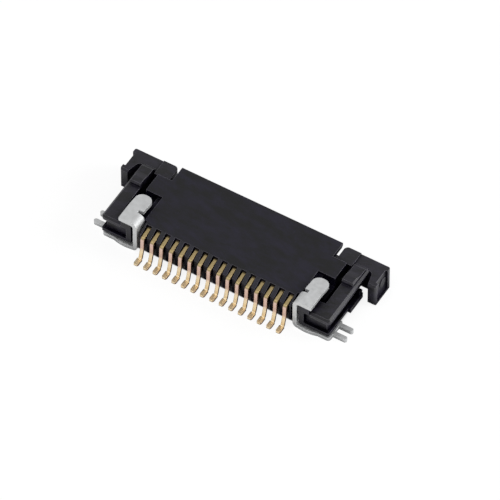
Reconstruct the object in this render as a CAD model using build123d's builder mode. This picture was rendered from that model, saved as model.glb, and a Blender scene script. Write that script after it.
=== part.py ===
import os

from build123d import *

# Right-angle surface-mount connector for flat film cable, with a sliding lock.
# Millimetres. X runs along the row of contacts, +Y is the side where the cable
# goes in, +Z is up, and z = 0 is the circuit board. The origin is under the
# middle of the whole connector. Depths are measured from the housing's front
# face, the side of the solder tails, and grow towards the cable.

# Contact strips
way_count = 16
pitch = 1.0
contact_width = 0.35
contact_thickness = 0.2
tail_reach = 1.44
tail_flat = 0.92
tail_pad_width = 0.5
tail_pad_length = 0.78
shin_foot_depth = -0.2
shin_foot_height = 1.2
knee_depth = -0.13
knee_height = 2.46
beam_rise = 0.2
tip_depth = 4.45
tip_drop = 0.82
lip_length = 0.45
lip_rise = 0.28
strip_bend = 0.22
tail_tip_rounding = 0.2
passage_clearance = 0.02

# Film cable and the mouth that takes it
film_margin = 1.0
film_thickness = 0.3
film_side_clearance = 0.1
film_squeeze = 0.1
mouth_floor = 0.75

# Housing body
body_top = 3.1
body_bottom = 0.15
top_wall = 0.5
shoulder_depth = 6.61
plate_length = 1.8
front_wall_depth = 1.11
front_wall = 1.2
side_wall = 1.37
comb_depth = 0.11
comb_bottom = 0.54
comb_nose_drop = 0.56
comb_slot = 0.58
comb_end_margin = 0.45
comb_gap = 0.26
plate_lead_in = 0.2

# End boxes of the housing
box_gap = 0.22
box_inner_wall = 0.51
floor_lift = 0.41
floor_thickness = 0.23
channel_lip = 0.1
channel_lip_length = 0.06
bar_thickness = 0.72
bar_depth = 1.9
bar_end = 0.23
recess_end = 4.51
recess_margin = 0.3
recess_web = 0.12
well_floor = 1.9
well_margin = 0.15
channel_width = 2.43
outer_wall = 0.18
outer_wall_end = 5.77
outer_wall_rounding = 0.15
boss_thickness = 0.24
boss_drop = 0.22
boss_length = 2.25
boss_rounding = 0.11
post_length = 0.5
post_height = 0.55
post_rounding = 0.22

# Hold-down clips, bent from sheet
sheet = 0.42
clip_slot_clearance = 0.06
clip_fit = 0.02
clip_top = 3.76
shoulder_bend = 0.66
foot_bend = 0.55
clip_wall_width = 1.38
tab_step = 0.31
tab_width = 1.61
tab_length = 2.3
tab_fall = 0.25
tab_rounding = 0.72
notch_depth = 0.44
notch_length = 0.33
barb_length = 0.7
barb_low = 1.0
barb_high = 1.9
foot_width = 3.79
foot_bulge = 0.06
foot_bulge_width = 2.0
foot_step = 0.12
foot_corner = 0.3
foot_back = 2.45
prong_length = 1.35
prong_width = 0.42
prong_front_depth = 0.96
prong_spacing = 1.1

# Slider
travel = 1.2
slide_clearance = 0.06
slider_bottom = 0.1
tongue_front = 3.2
tongue_nose = 0.8
tongue_nose_height = 0.35
funnel_length = 1.46
funnel_end_height = 1.0
block_gap = 0.33
block_width = 1.6
block_top = 2.88
block_rounding = 0.42
arm_gap = 0.67
arm_width = 1.39
arm_front = 0.05
arm_top = 2.87
arm_slab = 0.5
arm_bevel = 0.2
arm_rounding = 0.35
hook_end = 1.75
web_inset = 0.12
web_width = 0.85
lug_front = 0.35
lug_length = 1.15
rib_front = 4.54
rib_width = 1.17
rib_top = 3.33
rib_bevel = 0.14
rib_rounding = 0.2
rib_fall_start = 5.3
rib_fall_end = 6.0
rib_fall = 0.18
rib_end = 6.75
ear_wall = 1.31
ear_width = 3.05
ear_top = 2.75
ear_bottom = 0.05
finger_length = 1.42
finger_root = 1.12
finger_tip = 0.78
finger_bevel = 0.2
ear_root_rounding = 0.4
ear_rounding = 0.18
pocket_depth = 0.24
pocket_front_rim = 0.4
pocket_lean = 0.15
pocket_bulge = 0.06
pocket_rear_rim = 0.48
pocket_bottom_rim = 0.22
pocket_mark_radius = 0.5
pocket_mark_height = 0.07
pocket_mark_drop = 1.1
pocket_mark_inset = 0.55

# Places along the depth
body_depth = shoulder_depth + plate_length
front_y = tail_reach - (tail_reach + body_depth) / 2
front_wall_back = front_wall_depth + front_wall
clip_slot_end = clip_wall_width + clip_slot_clearance
notch_end = clip_wall_width + notch_length
tab_end = clip_wall_width + tab_length
barb_end = clip_wall_width + barb_length
closed_depth = shoulder_depth + slide_clearance
slider_rear = body_depth
ear_wall_depth = slider_rear - ear_wall
finger_front = ear_wall_depth - finger_length
post_front = outer_wall_end - post_length
stop_depth = lug_front + lug_length + travel + slide_clearance

# Places across the width
row_half = (way_count - 1) * pitch / 2
film_half = row_half + film_margin
mouth_half = film_half + film_side_clearance
body_half = mouth_half + side_wall
comb_half = row_half + comb_end_margin
clip_inner = comb_half + comb_gap
box_inner = clip_inner + sheet + box_gap
channel_inner = box_inner + box_inner_wall
wall_inner = channel_inner + channel_width
wall_outer = wall_inner + outer_wall
tab_inner = clip_inner + tab_step
tab_outer = tab_inner + tab_width
bar_outer = tab_outer - bar_end
hook_inner = bar_outer + slide_clearance
arm_inner = body_half + arm_gap
arm_outer = arm_inner + arm_width
foot_outer = clip_inner + foot_width
block_inner = film_half + block_gap
block_outer = block_inner + block_width
ear_outer = block_outer + ear_width
web_inner = arm_inner + web_inset

# Heights
mouth_roof = body_top - top_wall
beam_height = knee_height + beam_rise
tip_underside = beam_height - tip_drop - contact_thickness / 2
tongue_top = tip_underside - film_thickness + film_squeeze
tongue_bottom = mouth_floor + slide_clearance
foot_top = sheet + clip_fit
box_bottom = sheet + floor_lift
channel_floor = box_bottom + floor_thickness
wall_top = channel_floor + channel_lip
boss_bottom = box_bottom - boss_drop
tab_bottom = clip_top - sheet
bar_top = tab_bottom - clip_fit
bar_bottom = bar_top - bar_thickness
web_bottom = channel_floor + slide_clearance
arm_bottom = arm_top - arm_slab


def at(depth):
    """Y of a depth measured from the housing's front face."""
    return front_y + depth


def slab(x_span, depth_span, z_span, mode=Mode.ADD):
    """Block between two places along each axis, with depths from the front face."""
    with BuildSketch(Plane.XY.offset(z_span[0]), mode=Mode.PRIVATE) as footprint:
        with Locations((sum(x_span) / 2, at(sum(depth_span) / 2))):
            Rectangle(x_span[1] - x_span[0], depth_span[1] - depth_span[0])
    extrude(footprint.sketch, amount=z_span[1] - z_span[0], mode=mode)


def side_profile(points, x_low, x_high, mode=Mode.ADD):
    """Outline of (depth, z) points carried across from one X to another."""
    with BuildSketch(Plane.YZ.offset(x_low), mode=Mode.PRIVATE) as outline:
        with BuildLine():
            Polyline([(at(depth), z) for depth, z in points], close=True)
        make_face()
    extrude(outline.sketch, amount=x_high - x_low, mode=mode)


# Housing: one moulding with the cable mouth, the comb and two end boxes
with BuildPart() as housing:
    # Body block, cut away for the clip's upright wall and for its foot
    slab((0, body_half), (front_wall_depth, shoulder_depth), (body_bottom, body_top))
    slab(
        (comb_half, body_half),
        (front_wall_depth, clip_slot_end),
        (body_bottom, body_top),
        mode=Mode.SUBTRACT,
    )
    slab(
        (comb_half, body_half),
        (clip_slot_end, foot_back + clip_slot_clearance),
        (body_bottom, foot_top),
        mode=Mode.SUBTRACT,
    )

    # Slot that the clip's barb is pressed into
    slab(
        (clip_inner - clip_fit, clip_inner + sheet + clip_fit),
        (clip_slot_end, barb_end + clip_fit),
        (barb_low - clip_fit, barb_high + clip_fit),
        mode=Mode.SUBTRACT,
    )

    # Recess round the clip's tab: a shallow ledge, then a deeper well
    slab(
        (tab_inner - recess_margin, body_half),
        (clip_slot_end, recess_end),
        (mouth_roof + recess_web, body_top),
        mode=Mode.SUBTRACT,
    )
    slab(
        (mouth_half + well_margin, body_half),
        (bar_depth, recess_end),
        (well_floor, body_top),
        mode=Mode.SUBTRACT,
    )

    # Groove that the slider's lug runs in, closed at the back by its stop
    slab(
        (channel_inner, body_half),
        (clip_slot_end, stop_depth),
        (channel_floor, bar_bottom),
        mode=Mode.SUBTRACT,
    )

    # Room for the inner edge of the slider's arm beside the bar
    slab(
        (bar_outer, body_half),
        (clip_slot_end, bar_depth),
        (bar_bottom, body_top),
        mode=Mode.SUBTRACT,
    )

    # Floor of the end box, inner wall and the bar that the clip's tab lies on
    with BuildSketch(Plane.XZ.offset(-at(0))) as floor_section:
        with Locations(((box_inner + wall_outer) / 2, (box_bottom + channel_floor) / 2)):
            Rectangle(wall_outer - box_inner, channel_floor - box_bottom)
        fillet(floor_section.vertices().group_by(Axis.Z)[0].sort_by(Axis.X)[0], foot_bend - sheet)
    extrude(amount=-outer_wall_end)
    with BuildSketch(Plane.XZ.offset(-at(0))) as bar_section:
        with BuildLine():
            Polyline(
                (box_inner, channel_floor),
                (channel_inner, channel_floor),
                (channel_inner, bar_bottom),
                (bar_outer, bar_bottom),
                (bar_outer, bar_top),
                (box_inner, bar_top),
                close=True,
            )
        make_face()
        fillet(bar_section.vertices().group_by(Axis.Z)[-1].sort_by(Axis.X)[0], shoulder_bend - sheet)
    extrude(amount=-bar_depth)

    # Low rim round the channel, along its outer side and its front
    slab((wall_inner, wall_outer), (0, outer_wall_end), (channel_floor, wall_top))
    slab((channel_inner, wall_inner), (0, channel_lip_length), (channel_floor, wall_top))
    front_corner = housing.edges().filter_by(Axis.Z).group_by(Axis.X)[-1].group_by(Axis.Y)[0]
    fillet(front_corner, outer_wall_rounding)

    # Boss on the outside of that rim with an upright post at the cable side
    with BuildSketch(Plane.XY.offset(boss_bottom)) as boss:
        with Locations((wall_outer, at(outer_wall_end - boss_length / 2))):
            Rectangle(2 * boss_thickness, boss_length)
        fillet(boss.vertices().group_by(Axis.X)[-1].sort_by(Axis.Y)[-1], boss_rounding)
    extrude(amount=wall_top - boss_bottom)
    with BuildSketch(Plane.YZ.offset(wall_inner)) as post:
        with Locations((at((post_front + outer_wall_end) / 2), wall_top + post_height / 2)):
            Rectangle(post_length, post_height)
        fillet(post.vertices().group_by(Axis.Z)[-1], post_rounding)
    extrude(amount=outer_wall + boss_thickness - boss_rounding)

    mirror(about=Plane.YZ)

    # Comb of ribs that keeps the tails apart
    side_profile(
        [
            (front_wall_depth, comb_bottom),
            (comb_depth, comb_bottom),
            (comb_depth, body_top - comb_nose_drop),
            (front_wall_depth, body_top),
        ],
        -comb_half,
        comb_half,
    )
    with BuildSketch(Plane.XY.offset(comb_bottom)):
        with Locations((0, at(front_wall_depth / 2))):
            with GridLocations(pitch, 1, way_count, 1):
                Rectangle(comb_slot, front_wall_depth)
    extrude(amount=body_top, mode=Mode.SUBTRACT)

    # Plate over the cable, with a lead-in along its lower rear edge
    side_profile(
        [
            (shoulder_depth, mouth_roof),
            (body_depth - plate_lead_in, mouth_roof),
            (body_depth, mouth_roof + plate_lead_in),
            (body_depth, body_top),
            (shoulder_depth, body_top),
        ],
        -film_half,
        film_half,
    )

    # Mouth for the cable
    slab(
        (-mouth_half, mouth_half),
        (front_wall_back, shoulder_depth),
        (mouth_floor, mouth_roof),
        mode=Mode.SUBTRACT,
    )

    # Passages through the front wall and grooves in the roof for the strips
    passage_low = beam_height - contact_thickness / 2 - passage_clearance
    passage_high = beam_height + contact_thickness / 2 + passage_clearance
    passage_end = tip_depth + lip_length + contact_thickness
    with BuildSketch(Plane.XY.offset(passage_low)):
        with Locations((0, at((front_wall_depth + passage_end) / 2))):
            with GridLocations(pitch, 1, way_count, 1):
                Rectangle(contact_width + 2 * passage_clearance, passage_end - front_wall_depth)
    extrude(amount=passage_high - passage_low, mode=Mode.SUBTRACT)
housing.part.label = "housing"

# Contact strips: solder tail, upright shin, and a spring beam over the cable
contact_path = [
    (-tail_reach, contact_thickness / 2),
    (-tail_reach + tail_flat, contact_thickness / 2),
    (shin_foot_depth, shin_foot_height),
    (knee_depth, knee_height),
    (front_wall_depth - strip_bend / 2, beam_height),
    (front_wall_back + strip_bend, beam_height),
    (tip_depth, beam_height - tip_drop),
    (tip_depth + lip_length, beam_height - tip_drop + lip_rise),
]


def contact_strip(x):
    """One strip swept along its bends, in the plane across the row at X."""
    with BuildPart() as strip:
        with BuildLine(Plane.YZ.offset(x)) as run:
            FilletPolyline([(at(depth), z) for depth, z in contact_path], radius=strip_bend)
        with BuildSketch(Plane(run.line @ 0, x_dir=(1, 0, 0), z_dir=run.line % 0)):
            Rectangle(contact_width, contact_thickness)
        sweep()
        with BuildSketch(Plane.XY) as pad:
            with Locations((x, at(tail_pad_length / 2 - tail_reach))):
                Rectangle(tail_pad_width, tail_pad_length)
            fillet(pad.vertices().group_by(Axis.Y)[0], tail_tip_rounding)
        extrude(amount=contact_thickness)
    return strip.part


contacts = []
for index in range(way_count):
    contact = contact_strip((index - (way_count - 1) / 2) * pitch)
    contact.label = f"contact_{index + 1:02d}"
    contacts.append(contact)

# Right hold-down: a sheet folded into a C, with a tab above and a soldered foot below
with BuildPart() as hold_down_right:
    with BuildSketch(Plane.XZ.offset(-at(0))):
        with BuildLine():
            bend_end = clip_inner + shoulder_bend
            outside = FilletPolyline(
                (tab_outer, clip_top),
                (clip_inner, clip_top),
                (clip_inner, 0),
                (bend_end, 0),
                radius=[shoulder_bend, foot_bend],
            )
            inside = FilletPolyline(
                (tab_outer, tab_bottom),
                (clip_inner + sheet, tab_bottom),
                (clip_inner + sheet, sheet),
                (bend_end, sheet),
                radius=[shoulder_bend - sheet, foot_bend - sheet],
            )
            Line(outside @ 0, inside @ 0)
            Line(outside @ 1, inside @ 1)
        make_face()
    extrude(amount=-clip_wall_width)

    # Tab over the bar, falling behind it to a round end and notched beside the fold
    side_profile(
        [
            (clip_wall_width, tab_bottom),
            (clip_wall_width, clip_top),
            (bar_depth, clip_top),
            (tab_end, clip_top - tab_fall),
            (tab_end, tab_bottom - tab_fall),
            (bar_depth, tab_bottom),
        ],
        tab_inner,
        tab_outer,
    )
    tab_corners = hold_down_right.edges().filter_by(Axis.Z).group_by(Axis.Y)[-1]
    fillet(tab_corners, tab_rounding)
    slab(
        (tab_inner, tab_inner + notch_depth),
        (clip_wall_width, notch_end),
        (tab_bottom - tab_fall, clip_top),
        mode=Mode.SUBTRACT,
    )

    # Barb on the upright wall, pressed into the housing
    slab((clip_inner, clip_inner + sheet), (clip_wall_width, barb_end), (barb_low, barb_high))

    # Foot under the end box with its bulging front edge and two prongs
    with BuildSketch(Plane.XY) as foot:
        with BuildLine():
            bulge_start = clip_inner + foot_bend
            bulge = ThreePointArc(
                (bulge_start, at(0)),
                (bulge_start + foot_bulge_width / 2, at(-foot_bulge)),
                (bulge_start + foot_bulge_width, at(foot_step)),
            )
            Polyline(
                bulge @ 1,
                (foot_outer, at(foot_step)),
                (foot_outer, at(foot_back)),
                (bulge_start, at(foot_back)),
                bulge @ 0,
            )
        make_face()
        fillet(foot.vertices().group_by(Axis.X)[-1].sort_by(Axis.Y)[0], foot_corner)
        with Locations((foot_outer, at(prong_front_depth + prong_spacing / 2))):
            with GridLocations(1, prong_spacing, 1, 2):
                SlotOverall(2 * prong_length, prong_width)
    extrude(amount=sheet)
hold_down_right.part.label = "hold_down_right"

with BuildPart() as hold_down_left:
    mirror(hold_down_right.part, about=Plane.YZ)
hold_down_left.part.label = "hold_down_left"

# Slider: one moulding with two arms, two ears and the tongue under the cable
with BuildPart() as slider:
    # Arm slab, rounded at the front and bevelled along its outer edge
    with BuildSketch(Plane.XY.offset(arm_bottom)) as arm_plan:
        with BuildLine():
            Polyline(
                (hook_inner, at(arm_front)),
                (arm_outer, at(arm_front)),
                (arm_outer, at(ear_wall_depth)),
                (arm_inner, at(ear_wall_depth)),
                (arm_inner, at(hook_end)),
                (hook_inner, at(hook_end)),
                close=True,
            )
        make_face()
        fillet(arm_plan.vertices().group_by(Axis.Y)[0].sort_by(Axis.X)[-1], arm_rounding)
    extrude(amount=arm_slab)
    rims = slider.edges().group_by(Axis.Z)[-1]
    chamfer(rims.filter_by(lambda edge: edge.center().X > arm_outer - arm_rounding), arm_bevel)

    # Web under the arm and the lug that holds it under the housing's bar
    slab((web_inner, web_inner + web_width), (lug_front, ear_wall_depth), (web_bottom, arm_bottom))
    slab(
        (channel_inner + slide_clearance, web_inner),
        (lug_front, lug_front + lug_length),
        (web_bottom, bar_bottom - slide_clearance),
    )

    # Guide rib on the rear half of the arm, falling to the ear's wall behind
    side_profile(
        [
            (rib_front, arm_bottom),
            (rib_front, rib_top),
            (rib_fall_start, rib_top),
            (rib_fall_end, rib_top - rib_fall),
            (rib_end, rib_top - rib_fall),
            (ear_wall_depth + ear_rounding, ear_top),
            (ear_wall_depth + ear_rounding, arm_bottom),
        ],
        arm_inner,
        arm_inner + rib_width,
    )
    rib_corner = slider.edges().filter_by(Axis.Z).filter_by_position(Axis.Z, arm_top, rib_top)
    fillet(rib_corner.group_by(Axis.Y)[0].sort_by(Axis.X)[-1], rib_rounding)
    rib_rims = slider.edges().filter_by(Axis.Y).group_by(Axis.Z)[-1]
    chamfer(rib_rims.sort_by(Axis.X)[-1], rib_bevel)

    # Block beside the cable, rounded at its rear inner corner
    with BuildSketch(Plane.XY.offset(slider_bottom)) as block_plan:
        with Locations(((block_inner + block_outer) / 2, at((closed_depth + slider_rear) / 2))):
            Rectangle(block_width, slider_rear - closed_depth)
        fillet(block_plan.vertices().group_by(Axis.Y)[-1].sort_by(Axis.X)[0], block_rounding)
    extrude(amount=block_top - slider_bottom)

    # Ear: a cross wall with a finger that comes forward, both to pull on
    with BuildSketch(Plane.XY.offset(ear_bottom)) as ear_plan:
        with BuildLine():
            Polyline(
                (block_outer, at(ear_wall_depth)),
                (ear_outer - finger_root, at(ear_wall_depth)),
                (ear_outer - finger_tip, at(finger_front)),
                (ear_outer, at(finger_front)),
                (ear_outer, at(slider_rear)),
                (block_outer, at(slider_rear)),
                close=True,
            )
        make_face()
        inner_corners = ear_plan.vertices().group_by(Axis.X)[1]
        fillet(inner_corners, ear_root_rounding)
        fillet(ear_plan.vertices().group_by(Axis.X)[-1], ear_rounding)
    extrude(amount=ear_top - ear_bottom)
    for edge_height, slope in ((ear_bottom, finger_bevel), (ear_top, -finger_bevel)):
        side_profile(
            [
                (finger_front, edge_height),
                (finger_front, edge_height + slope),
                (finger_front + finger_bevel, edge_height),
            ],
            arm_outer,
            ear_outer,
            mode=Mode.SUBTRACT,
        )

    # Thumb pocket in the ear's outer side, open above, with a low round mark on its floor
    with BuildSketch(Plane.YZ.offset(ear_outer - pocket_depth)):
        pocket_front = finger_front + pocket_front_rim
        pocket_rear = slider_rear - pocket_rear_rim
        pocket_bottom = ear_bottom + pocket_bottom_rim
        with BuildLine():
            arch_low = (at(pocket_front), pocket_bottom)
            arch_high = (at(pocket_front + pocket_lean), ear_top)
            arch = SagittaArc(arch_low, arch_high, pocket_bulge)
            Polyline(arch @ 1, (at(pocket_rear), ear_top), (at(pocket_rear), pocket_bottom), arch @ 0)
        make_face()
    extrude(amount=ear_width, mode=Mode.SUBTRACT)
    with BuildSketch(Plane.YZ.offset(ear_outer - pocket_depth)):
        with Locations((at(pocket_rear - pocket_mark_inset), ear_top - pocket_mark_drop)):
            Circle(pocket_mark_radius)
    extrude(amount=pocket_mark_height)

    mirror(about=Plane.YZ)

    # Tongue under the cable, and the bar that joins the two sides behind the housing
    side_profile(
        [
            (tongue_front, tongue_bottom),
            (tongue_front, tongue_bottom + tongue_nose_height),
            (tongue_front + tongue_nose, tongue_top),
            (slider_rear - funnel_length, tongue_top),
            (slider_rear, funnel_end_height),
            (slider_rear, slider_bottom),
            (closed_depth, slider_bottom),
            (closed_depth, tongue_bottom),
        ],
        -film_half,
        film_half,
    )
    slab(
        (-block_outer, block_outer),
        (closed_depth, slider_rear),
        (slider_bottom, tongue_bottom),
    )
slider.part.label = "slider"

os.makedirs("parts", exist_ok=True)
for piece in [housing.part, slider.part, hold_down_left.part, hold_down_right.part, *contacts]:
    export_step(piece, f"parts/{piece.label}.step")
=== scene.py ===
# Film cable connector: the finish of each piece, with the floor, light and camera round it.
# Metres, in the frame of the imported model: X along the row of contacts, +Y the cable's side.
import math

import bpy
import numpy as np
from mathutils import Matrix, Vector

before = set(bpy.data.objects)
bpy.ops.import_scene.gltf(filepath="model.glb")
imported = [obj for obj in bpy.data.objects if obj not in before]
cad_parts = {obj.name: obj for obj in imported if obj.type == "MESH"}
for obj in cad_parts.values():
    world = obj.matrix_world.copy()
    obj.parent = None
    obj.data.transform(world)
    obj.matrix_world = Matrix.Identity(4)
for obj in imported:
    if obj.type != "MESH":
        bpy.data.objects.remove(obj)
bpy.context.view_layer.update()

MILLIMETRE = 0.001

# Camera: its direction, and the photograph's long lens, as fitted to the connector's corners.
# The azimuth is measured from the side of the solder tails towards +X.
camera_azimuth = math.radians(31.01)
camera_elevation = math.radians(51.33)
camera_roll = math.radians(0.10)
camera_distance = 0.7236
camera_aim = (-0.002104, -0.002078)
camera_centre = (0.00006, -0.001425, 0.0001)
focal_pixels = 8000
photo_pixels = 500
sensor_width = 36

# Resin: lowest share of shine, where painted shade darkens recesses and faces near the floor,
# and the tone of the painted highlight on rounded edges
resin_ior = 1.5
painted_shade_shine = 0.06
resin_edge_radius = 0.07 * MILLIMETRE
painted_edge_highlight_tone = "#aaa6b4"

# Gold: heights above the board, in millimetres, between which the colour changes
pink_start, pink_end = 0.9, 1.4
beam_start, beam_end = 2.35, 2.5

# Floor: its half size, the part of it that the housing covers, and how white it shows
floor_half = 1.5
covered_half_width = 11.9 * MILLIMETRE
covered_half_depth = 3.1 * MILLIMETRE
floor_white = 0.86

# Reach and range of the soft shade round the connector, for the floor and the resin
shade_reach = 2.5 * MILLIMETRE
shade_range = (0.5, 0.95)

# Sockets of a Mix node: the ends for numbers, then those for colours and their result
NUMBER_A, NUMBER_B = 2, 3
COLOUR_A, COLOUR_B, COLOUR_RESULT = 6, 7, 2


def linear(code):
    """Linear colour with alpha of an sRGB hex value."""
    parts = [int(code[i : i + 2], 16) / 255 for i in (1, 3, 5)]
    return (*[p / 12.92 if p <= 0.04045 else ((p + 0.055) / 1.055) ** 2.4 for p in parts], 1)


def add(tree, kind, inputs, **settings):
    """A node with its settings. An input is a number or colour to set, or a socket to link."""
    node = tree.nodes.new(kind)
    for name, value in settings.items():
        setattr(node, name, value)
    for name, value in inputs.items():
        if isinstance(value, bpy.types.NodeSocket):
            tree.links.new(value, node.inputs[name])
        else:
            node.inputs[name].default_value = value
    return node


def calculate(tree, operation, *values, clamp=False):
    """Result of an operation on numbers or sockets."""
    inputs = dict(enumerate(values))
    return add(tree, "ShaderNodeMath", inputs, operation=operation, use_clamp=clamp).outputs[0]


def remap(tree, value, start, end, low=0.0, high=1.0, **settings):
    """A value's place between start and end, carried to between low and high."""
    ends = {"Value": value, "From Min": start, "From Max": end, "To Min": low, "To Max": high}
    return add(tree, "ShaderNodeMapRange", ends, **settings).outputs["Result"]


def stretch(tree, place, scale):
    """A texture's space, scaled along each axis."""
    return add(tree, "ShaderNodeMapping", {"Vector": place, "Scale": scale}).outputs["Vector"]


def noise(tree, place, scale, detail, **extras):
    """Soft noise, with about scale waves to each unit of the place's space."""
    inputs = {"Vector": place, "Scale": scale, "Detail": detail, **extras}
    return add(tree, "ShaderNodeTexNoise", inputs).outputs["Fac"]


def blend(tree, factor, first, second):
    """Colour between two linear colours or sockets."""
    inputs = {"Factor": factor, COLOUR_A: first, COLOUR_B: second}
    return add(tree, "ShaderNodeMix", inputs, data_type="RGBA").outputs[COLOUR_RESULT]


def openness(tree):
    """How open a surface is to its surroundings, from 0 in a recess to 1."""
    node = add(tree, "ShaderNodeAmbientOcclusion", {"Distance": shade_reach}, samples=8)
    return node.outputs["AO"]


def rounded_edges(tree, radius, samples):
    """Normal with the edges rounded."""
    return add(tree, "ShaderNodeBevel", {"Radius": radius}, samples=samples).outputs["Normal"]


def new_material(name):
    """An empty material with its node tree."""
    material = bpy.data.materials.new(name)
    material.use_nodes = True
    material.node_tree.nodes.clear()
    return material, material.node_tree


def millimetre_space(tree):
    """Object coordinates in millimetres."""
    place = add(tree, "ShaderNodeTexCoord", {}).outputs["Object"]
    inputs = {0: place, "Scale": 1 / MILLIMETRE}
    return add(tree, "ShaderNodeVectorMath", inputs, operation="SCALE").outputs["Vector"]


def show(tree, surface, output="ShaderNodeOutputMaterial"):
    """Ends a tree with a surface."""
    add(tree, output, {"Surface": surface})


def finish_surface(tree, edges, relief, strength, depth, shading):
    """Ends a tree with a surface that has a relief, as deep as depth, over its rounded edges."""
    inputs = {"Height": relief, "Strength": strength, "Distance": depth, "Normal": edges}
    normal = add(tree, "ShaderNodeBump", inputs).outputs["Normal"]
    shader = add(tree, "ShaderNodeBsdfPrincipled", {**shading, "Normal": normal})
    show(tree, shader.outputs["BSDF"])


def moulded_resin(name, dark, light, flow_turn, roughness_low, roughness_high, open_shine):
    """Glass-filled liquid crystal polymer, injection moulded and left as it leaves the tool.

    Matt near-black. The melt's flow leaves soft streaks and short glass fibres under the skin
    leave paler flecks, and the spark-eroded tool leaves a fine even grain. The fibres are
    0.01 mm thick and too fine to show, so they are drawn 0.05 mm wide. Painted shade lowers
    the shine in recesses and on faces that look down on the floor close by, and the rounded
    edges get a painted highlight in a paler tone.
    """
    material, tree = new_material(name)
    place = millimetre_space(tree)
    turned = add(
        tree, "ShaderNodeMapping", {"Vector": place, "Rotation": (0, 0, flow_turn)}
    ).outputs["Vector"]
    streak_space = stretch(tree, turned, (0.5, 1.1, 1.1))
    streaks = noise(tree, streak_space, scale=1.0, detail=5.0, Roughness=0.65, Distortion=0.2)
    fleck_space = stretch(tree, turned, (5.0, 20.0, 20.0))
    flecks = noise(tree, fleck_space, scale=1.0, detail=2.0)
    grain = noise(tree, place, scale=14.0, detail=3.0)

    fleck_mask = remap(tree, flecks, start=0.52, end=0.72)
    shade = remap(tree, streaks, start=0.4, end=0.66, high=0.85)
    tone = calculate(tree, "MULTIPLY_ADD", fleck_mask, 0.5, shade)
    skin = blend(tree, tone, linear(dark), linear(light))
    roughness = remap(tree, streaks, 0.3, 0.7, low=roughness_low, high=roughness_high)
    # Painted shade: the shine falls from the open top's share to a low share in recesses and on
    # faces near the floor, by how open the surface is
    shine_and_painted_shade = remap(tree, openness(tree), *shade_range, low=painted_shade_shine, high=open_shine)

    # A rounded edge is where the rounded normal leaves the face's own
    edges = rounded_edges(tree, resin_edge_radius, samples=8)
    face = add(tree, "ShaderNodeNewGeometry", {}).outputs["Normal"]
    alignment = add(
        tree, "ShaderNodeVectorMath", {0: edges, 1: face}, operation="DOT_PRODUCT"
    ).outputs["Value"]
    rounded = remap(tree, alignment, start=0.99, end=0.9)
    # Painted highlight: the rounded edges take a paler tone, less so where painted shade lowers
    # the shine
    painted_edge_highlight = calculate(tree, "MULTIPLY", rounded, shine_and_painted_shade)

    shading = {
        "Base Color": blend(tree, painted_edge_highlight, skin, linear(painted_edge_highlight_tone)),
        "Roughness": roughness,
        "IOR": resin_ior,
        "Specular IOR Level": shine_and_painted_shade,
    }
    depth = 0.01 * MILLIMETRE
    finish_surface(tree, edges, grain, strength=0.35, depth=depth, shading=shading)
    return material


def gold_plated_strip():
    """Phosphor bronze strip, blanked and bent, with a flash of gold over nickel.

    The rolled faces are smooth, with fine rolling lines along the strip. The colour changes
    with height: rich yellow on the solder tail, pinkish on the upright part, and duller on the
    beam. The blanked sides are rougher and browner, where the plating is thin over the torn
    metal.
    """
    material, tree = new_material("gold_over_nickel_bronze_strip")
    place = millimetre_space(tree)
    normal = add(tree, "ShaderNodeTexCoord", {}).outputs["Normal"]
    across = add(tree, "ShaderNodeSeparateXYZ", {"Vector": normal}).outputs["X"]
    blanked = remap(tree, calculate(tree, "ABSOLUTE", across), start=0.5, end=0.8)
    rolling = noise(tree, stretch(tree, place, (25.0, 0.8, 0.8)), scale=1.0, detail=3.0)
    cloud = noise(tree, place, scale=1.3, detail=2.0)

    height = add(tree, "ShaderNodeSeparateXYZ", {"Vector": place}).outputs["Z"]
    toward_pink = remap(tree, height, pink_start, pink_end)
    on_beam = remap(tree, height, beam_start, beam_end)
    tail_colour = blend(tree, cloud, linear("#f8dcab"), linear("#fff0d0"))
    lower_colour = blend(tree, toward_pink, tail_colour, linear("#e2c4b6"))
    face_colour = blend(tree, on_beam, lower_colour, linear("#b7a376"))

    shading = {
        "Base Color": blend(tree, blanked, face_colour, linear("#a98672")),
        "Metallic": 1.0,
        "Roughness": remap(tree, blanked, 0, 1, low=0.46, high=0.56),
    }
    edges = rounded_edges(tree, 0.09 * MILLIMETRE, samples=8)
    depth = 0.008 * MILLIMETRE
    finish_surface(tree, edges, rolling, strength=0.25, depth=depth, shading=shading)
    return material


def matt_tinned_sheet():
    """Copper alloy sheet, stamped and folded, with a matt electroplated tin finish.

    Satin pale grey. The tin's crystals show as a soft mottle, and the sheet's rolling lines
    still show through it. Their real spacing is about 0.02 mm, and they are drawn at 0.08 mm.
    """
    material, tree = new_material("matt_tin_on_sheet")
    place = millimetre_space(tree)
    mottle = noise(tree, place, scale=2.2, detail=4.0)
    rolling = noise(tree, stretch(tree, place, (1.0, 12.0, 1.0)), scale=1.0, detail=3.0)
    crystals = noise(tree, place, scale=11.0, detail=3.0)

    shading = {
        "Base Color": blend(tree, mottle, linear("#cbcccc"), linear("#e7e8e9")),
        "Metallic": 1.0,
        "Roughness": remap(tree, mottle, 0.3, 0.7, low=0.6, high=0.7),
    }
    edges = rounded_edges(tree, 0.05 * MILLIMETRE, samples=6)
    relief = calculate(tree, "MULTIPLY_ADD", rolling, 0.6, crystals)
    depth = 0.01 * MILLIMETRE
    finish_surface(tree, edges, relief, strength=0.3, depth=depth, shading=shading)
    return material


def dress(names, material):
    """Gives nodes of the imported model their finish, in every slot."""
    for name in names:
        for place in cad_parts[name].material_slots:
            place.material = material


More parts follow.
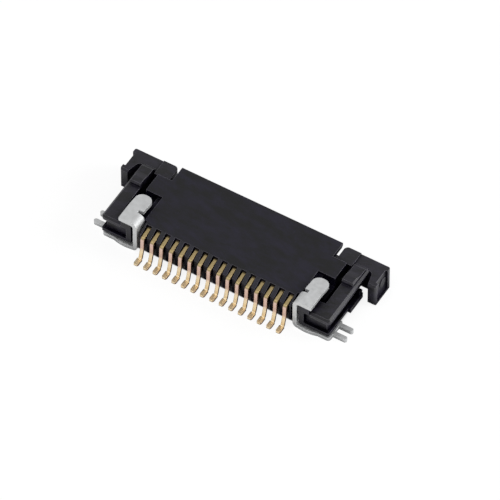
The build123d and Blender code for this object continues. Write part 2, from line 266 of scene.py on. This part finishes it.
housing_resin = moulded_resin(
    "black_moulded_lcp_housing",
    dark="#030305",
    light="#1b182b",
    flow_turn=math.radians(8),
    roughness_low=0.47,
    roughness_high=0.53,
    open_shine=0.43,
)
slider_resin = moulded_resin(
    "black_moulded_lcp_slider",
    dark="#07070a",
    light="#2b2836",
    flow_turn=math.radians(-20),
    roughness_low=0.45,
    roughness_high=0.51,
    open_shine=0.54,
)
contact_names = sorted(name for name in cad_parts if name.startswith("contact_"))
dress(["housing"], housing_resin)
dress(["slider"], slider_resin)
dress(["hold_down_left", "hold_down_right"], matt_tinned_sheet())
dress(contact_names, gold_plated_strip())


def white_floor():
    """White to the camera and in reflections, with a share of plain lit paint for the shadow.

    Under the housing, which the slots between the contacts look down on, it is in the
    connector's own shade, and the white stops there. Reflections also show the softer shade
    close round the connector.
    """
    material, tree = new_material("white_painted_sweep")
    path = add(tree, "ShaderNodeLightPath", {}).outputs
    mirrored = calculate(tree, "ADD", path["Is Glossy Ray"], path["Is Transmission Ray"])
    shown = calculate(tree, "ADD", path["Is Camera Ray"], mirrored, clamp=True)

    place = add(tree, "ShaderNodeTexCoord", {}).outputs["Object"]
    inputs = {0: place, 1: (1 / covered_half_width, 1 / covered_half_depth, 0)}
    shares = add(tree, "ShaderNodeVectorMath", inputs, operation="MULTIPLY").outputs["Vector"]
    unsigned = add(
        tree, "ShaderNodeVectorMath", {0: shares}, operation="ABSOLUTE"
    ).outputs["Vector"]
    apart = add(tree, "ShaderNodeSeparateXYZ", {"Vector": unsigned}).outputs
    farther = calculate(tree, "MAXIMUM", apart["X"], apart["Y"])
    uncovered = remap(
        tree, farther, 0.95, 1.0, high=floor_white, interpolation_type="SMOOTHSTEP"
    )

    near_shade = remap(tree, openness(tree), *shade_range, low=0.05)
    sides = {"Factor": path["Is Glossy Ray"], NUMBER_A: 1.0, NUMBER_B: near_shade}
    shade_seen = add(tree, "ShaderNodeMix", sides).outputs[0]
    strength = calculate(tree, "MULTIPLY", uncovered, shade_seen)
    glow = add(tree, "ShaderNodeEmission", {"Color": (1, 1, 1, 1), "Strength": strength})
    tint = add(tree, "ShaderNodeBsdfDiffuse", {"Color": (0.25, 0.25, 0.25, 1)})
    seen = add(tree, "ShaderNodeAddShader", {0: glow.outputs[0], 1: tint.outputs[0]})
    lit = add(tree, "ShaderNodeBsdfDiffuse", {"Color": (0.8, 0.8, 0.8, 1)})
    surfaces = {0: shown, 1: lit.outputs[0], 2: seen.outputs[0]}
    show(tree, add(tree, "ShaderNodeMixShader", surfaces).outputs[0])
    return material


corners = np.array([(-1, -1, 0), (1, -1, 0), (1, 1, 0), (-1, 1, 0)]) * floor_half
floor_mesh = bpy.data.meshes.new("floor")
floor_mesh.from_pydata(corners.tolist(), [], [(0, 1, 2, 3)])
floor = bpy.data.objects.new("floor", floor_mesh)
bpy.context.scene.collection.objects.link(floor)
floor_mesh.materials.append(white_floor())


def studio_world():
    """A white tent, bright low down and darker overhead.

    It shows as plain white behind the connector, and reflections see it part way to that.
    """
    world = bpy.data.worlds.new("white_tent")
    world.use_nodes = True
    tree = world.node_tree
    tree.nodes.clear()
    direction = add(tree, "ShaderNodeTexCoord", {}).outputs["Generated"]
    height = add(tree, "ShaderNodeSeparateXYZ", {"Vector": direction}).outputs["Z"]
    sky = remap(tree, height, 0.1, 0.8, low=1.0, high=0.5)
    path = add(tree, "ShaderNodeLightPath", {}).outputs
    clear = calculate(tree, "ADD", path["Is Camera Ray"], path["Is Transmission Ray"])
    white_share = calculate(
        tree, "MULTIPLY_ADD", path["Is Glossy Ray"], 0.45, clear, clamp=True
    )
    tent = add(tree, "ShaderNodeBackground", {"Color": sky, "Strength": 0.5})
    white = add(tree, "ShaderNodeBackground", {"Color": (1, 1, 1, 1), "Strength": 1.0})
    surfaces = {0: white_share, 1: tent.outputs[0], 2: white.outputs[0]}
    mixed = add(tree, "ShaderNodeMixShader", surfaces).outputs[0]
    show(tree, mixed, output="ShaderNodeOutputWorld")
    bpy.context.scene.world = world


def direction_of(azimuth, elevation):
    """Unit vector from the connector, with the azimuth from the tails' side towards +X."""
    level = math.cos(elevation)
    return Vector(
        (math.sin(azimuth) * level, -math.cos(azimuth) * level, math.sin(elevation))
    )


def softbox(name, azimuth, elevation, distance, width, power):
    """A square area lamp that faces the connector from a direction given in degrees."""
    back = direction_of(math.radians(azimuth), math.radians(elevation))
    lamp = bpy.data.lights.new(name, "AREA")
    lamp.size = width
    lamp.energy = power
    box = bpy.data.objects.new(name, lamp)
    box.location = back * distance
    box.rotation_mode = "QUATERNION"
    box.rotation_quaternion = (-back).to_track_quat("-Z", "Y")
    bpy.context.scene.collection.objects.link(box)


studio_world()
softbox("key_softbox", azimuth=117, elevation=20, distance=0.6, width=0.3, power=1.6)
softbox("fill_softbox", azimuth=-10, elevation=70, distance=0.7, width=0.4, power=1.05)


def photo_camera():
    """The camera at the photograph's angle and distance."""
    forward = -direction_of(camera_azimuth, camera_elevation)
    level = Vector((math.cos(camera_azimuth), math.sin(camera_azimuth), 0))
    upright = level.cross(forward)
    right = math.cos(camera_roll) * level + math.sin(camera_roll) * upright
    up = right.cross(forward)
    camera = bpy.data.cameras.new("photo_camera")
    camera.sensor_width = sensor_width
    camera.lens = focal_pixels / photo_pixels * sensor_width
    view = bpy.data.objects.new("photo_camera", camera)
    spot = Vector(camera_centre) - camera_distance * forward
    spot -= camera_aim[0] * right + camera_aim[1] * up
    turn = Matrix((right, up, -forward)).transposed()
    view.matrix_world = Matrix.Translation(spot) @ turn.to_4x4()
    bpy.context.scene.collection.objects.link(view)
    bpy.context.scene.camera = view


photo_camera()
bpy.context.scene.view_settings.view_transform = "Standard"
